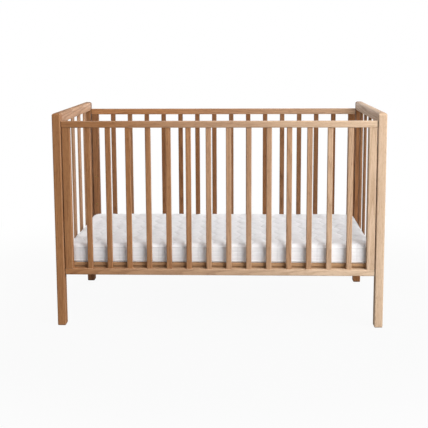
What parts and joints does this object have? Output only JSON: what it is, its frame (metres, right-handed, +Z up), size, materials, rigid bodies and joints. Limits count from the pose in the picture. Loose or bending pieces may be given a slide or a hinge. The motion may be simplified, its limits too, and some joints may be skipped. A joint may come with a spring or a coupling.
{
  "type": "baby crib",
  "caption": "Slatted oak baby crib with full-height square corner posts, flush end rails, bolted long side panels, a height-adjustable slatted base and a loose quilted mattress.",
  "frame": {"origin": "on the floor, under the middle of the crib", "axes": "+X along the crib from its left end to its right end, seen from the front; +Y from the front panel to the rear panel; +Z up"},
  "size_m": [1.48, 0.776, 0.975],
  "materials": {
    "oak": "oiled, satin",
    "base_wood": "planed, matt",
    "dowel_beech": "plain",
    "steel": "zinc plated",
    "brass": "plain",
    "spacer_plastic": "matt",
    "mattress_fabric": "quilted"
  },
  "bodies": {
    "frame": {"front_left_post": "oak", "front_right_post": "oak", "rear_left_post": "oak", "rear_right_post": "oak", "left_end_top_rail": "oak", "right_end_top_rail": "oak", "left_end_bottom_rail": "oak", "right_end_bottom_rail": "oak", "left_end_slats": "oak", "right_end_slats": "oak", "end_rail_dowels": "dowel_beech", "front_top_rail": "oak", "front_bottom_rail": "oak", "front_left_stile": "oak", "front_right_stile": "oak", "rear_top_rail": "oak", "rear_bottom_rail": "oak", "rear_left_stile": "oak", "rear_right_stile": "oak", "front_slat_01": "oak", "front_slat_02": "oak", "front_slat_03": "oak", "front_slat_04": "oak", "front_slat_05": "oak", "front_slat_06": "oak", "front_slat_07": "oak", "front_slat_08": "oak", "front_slat_09": "oak", "front_slat_10": "oak", "front_slat_11": "oak", "front_slat_12": "oak", "front_slat_13": "oak", "front_slat_14": "oak", "rear_slat_01": "oak", "rear_slat_02": "oak", "rear_slat_03": "oak", "rear_slat_04": "oak", "rear_slat_05": "oak", "rear_slat_06": "oak", "rear_slat_07": "oak", "rear_slat_08": "oak", "rear_slat_09": "oak", "rear_slat_10": "oak", "rear_slat_11": "oak", "rear_slat_12": "oak", "rear_slat_13": "oak", "rear_slat_14": "oak", "stile_dowels": "dowel_beech", "panel_bolts": "steel", "barrel_nuts": "steel", "panel_spacers": "spacer_plastic", "insert_nuts": "brass", "base_support_pins": "steel"},
    "base": {"base_front_beam": "base_wood", "base_rear_beam": "base_wood", "base_left_beam": "base_wood", "base_right_beam": "base_wood", "base_slats": "base_wood", "base_slat_screws": "steel"},
    "mattress": {"mattress": "mattress_fabric"}
  },
  "joints": [
    {"name": "base_height", "type": "slide", "parent": "frame", "child": "base", "axis": [0, 0, 1], "range_m": [0, 0.3]},
    {"name": "mattress_lift", "type": "slide", "parent": "base", "child": "mattress", "axis": [0, 0, 1], "range_m": [0, 0.75]}
  ]
}
